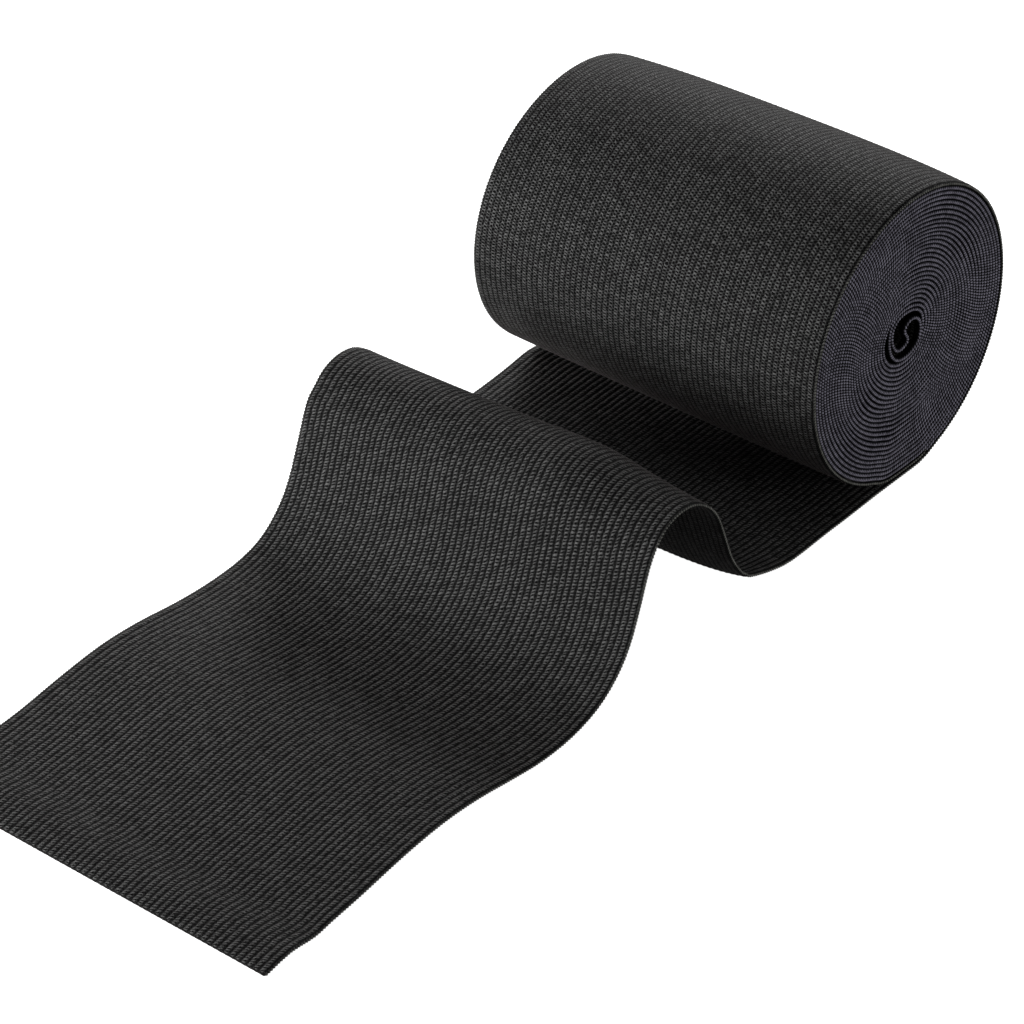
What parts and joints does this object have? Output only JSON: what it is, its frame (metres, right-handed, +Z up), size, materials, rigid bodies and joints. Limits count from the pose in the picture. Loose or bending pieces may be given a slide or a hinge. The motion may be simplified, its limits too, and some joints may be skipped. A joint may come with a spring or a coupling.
{
  "type": "roll of elastic band",
  "caption": "Roll of wide black ribbed elastic lying on its side, its loose end drawn out over the table in one tall wave and cut straight.",
  "frame": {"origin": "middle of the bounding box at its base, on the table", "axes": "+Z up, +X along the roll's axis towards the end that shows, +Y along the band's run from the cut end towards the roll"},
  "size_m": [0.1072, 0.2656, 0.0767],
  "materials": {
    "band_knit": "black ribbed knit with a dull sheen"
  },
  "bodies": {
    "root": {"wound_roll": "band_knit", "loose_end": "band_knit"}
  },
  "joints": []
}
